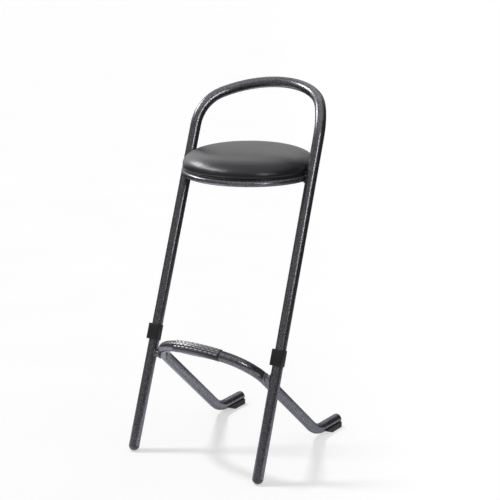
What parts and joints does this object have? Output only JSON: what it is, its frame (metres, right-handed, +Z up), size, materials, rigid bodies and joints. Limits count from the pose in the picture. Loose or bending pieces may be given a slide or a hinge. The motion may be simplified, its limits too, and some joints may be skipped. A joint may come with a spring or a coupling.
{
  "type": "hoop-back bar stool",
  "caption": "Tall stacking bar stool: bent-tube hoop frame with a low curved back rail, round black cushioned seat, arched footrest, stacking bumpers and protective feet.",
  "frame": {"origin": "on the floor, at the middle of the stool's footprint (bottom centre of the bounding box)", "axes": "+X to the right of someone who faces the front of the stool, +Y from the front (footrest) to the back (back rail), +Z up"},
  "size_m": [0.4174, 0.4612, 0.9467],
  "materials": {
    "frame_coat": "dark grey hammered powder coat, half gloss",
    "sleeve_coat": "embossed, dark grey coat worn bright on the raised pattern",
    "weld_coat": "rippled weld bead under the powder coat",
    "bumper_rubber": "matt moulded",
    "glide_plastic": "satin moulded",
    "plug_plastic": "satin moulded",
    "pad_rubber": "matt moulded",
    "plywood": "raw birch plywood",
    "foam": "open-cell foam",
    "vinyl": "satin black upholstery vinyl",
    "dust_cloth": "black non-woven cloth",
    "zinc": "zinc plated"
  },
  "bodies": {
    "root": {"main_hoop": "frame_coat", "lower_frame": "frame_coat", "seat_ring": "frame_coat", "seat_tab_1": "frame_coat", "seat_tab_2": "frame_coat", "seat_tab_3": "frame_coat", "seat_tab_4": "frame_coat", "footrest_sleeve": "sleeve_coat", "spacer_left": "frame_coat", "spacer_right": "frame_coat", "spacer_welds_left": "weld_coat", "spacer_welds_right": "weld_coat", "ring_weld_left": "weld_coat", "ring_weld_right": "weld_coat", "bumper_left": "bumper_rubber", "bumper_right": "bumper_rubber", "front_glide_left": "glide_plastic", "front_glide_right": "glide_plastic", "rear_plug_left": "plug_plastic", "rear_plug_right": "plug_plastic", "rear_pad_left": "pad_rubber", "rear_pad_right": "pad_rubber", "seat_board": "plywood", "seat_foam": "foam", "seat_cover": "vinyl", "dust_cover": "dust_cloth", "cover_staples": "zinc", "tee_nuts": "zinc", "seat_screws": "zinc", "lock_washers": "zinc", "flat_washers": "zinc"}
  },
  "joints": []
}
